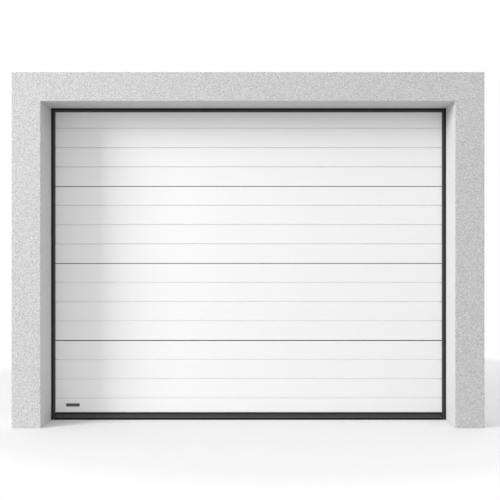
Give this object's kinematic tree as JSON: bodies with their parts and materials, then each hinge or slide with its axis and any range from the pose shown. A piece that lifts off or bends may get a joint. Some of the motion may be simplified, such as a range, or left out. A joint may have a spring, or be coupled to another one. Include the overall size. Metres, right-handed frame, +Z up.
{
  "type": "sectional garage door",
  "caption": "White sectional overhead garage door, closed, in a plastered doorway, with black seals, roller tracks and a torsion-spring counterbalance behind the wall.",
  "frame": {"origin": "middle of the leaf's bottom seal on the finished floor, on the leaf's mid-plane", "axes": "+X along the wall to the right as seen from outside, +Y into the garage, +Z up"},
  "size_m": [2.916, 2.3816, 2.304],
  "materials": {
    "plaster": "fine spatter render, painted pale grey",
    "section_steel": "satin white polyester coil coating",
    "frame_steel": "white powder coating",
    "galvanized_steel": "hot-dip galvanized sheet",
    "zinc_plated_steel": "bright zinc plating",
    "spring_steel": "oil-tempered wire",
    "cast_alloy": "die-cast, as cast",
    "black_rubber": "matt black weatherstrip",
    "nylon": "moulded nylon"
  },
  "bodies": {
    "root": {"left_pier": "plaster", "right_pier": "plaster", "lintel": "plaster", "leaf_section_1": "section_steel", "leaf_section_2": "section_steel", "leaf_section_3": "section_steel", "leaf_section_4": "section_steel", "left_end_caps": "galvanized_steel", "right_end_caps": "galvanized_steel", "bottom_retainer": "black_rubber", "bottom_seal": "black_rubber", "left_side_seal": "black_rubber", "right_side_seal": "black_rubber", "head_seal": "black_rubber", "left_frame_post": "frame_steel", "right_frame_post": "frame_steel", "head_rail": "frame_steel", "left_vertical_track": "galvanized_steel", "right_vertical_track": "galvanized_steel", "left_curved_track": "galvanized_steel", "right_curved_track": "galvanized_steel", "left_level_track": "galvanized_steel", "right_level_track": "galvanized_steel", "left_roller_wheels": "nylon", "right_roller_wheels": "nylon", "left_roller_stems": "zinc_plated_steel", "right_roller_stems": "zinc_plated_steel", "hinge_lower_leaves": "galvanized_steel", "hinge_upper_leaves": "galvanized_steel", "hinge_pins": "zinc_plated_steel", "bottom_brackets": "galvanized_steel", "top_brackets": "galvanized_steel", "torsion_shaft": "galvanized_steel", "left_torsion_spring": "spring_steel", "right_torsion_spring": "spring_steel", "spring_cones": "cast_alloy", "left_cable_drum": "cast_alloy", "right_cable_drum": "cast_alloy", "lift_cables": "zinc_plated_steel", "shaft_bearings": "zinc_plated_steel", "left_shaft_end_plate": "galvanized_steel", "right_shaft_end_plate": "galvanized_steel", "centre_bearing_bracket": "galvanized_steel", "ceiling_hangers": "galvanized_steel", "rear_crossbar": "galvanized_steel"}
  },
  "joints": []
}
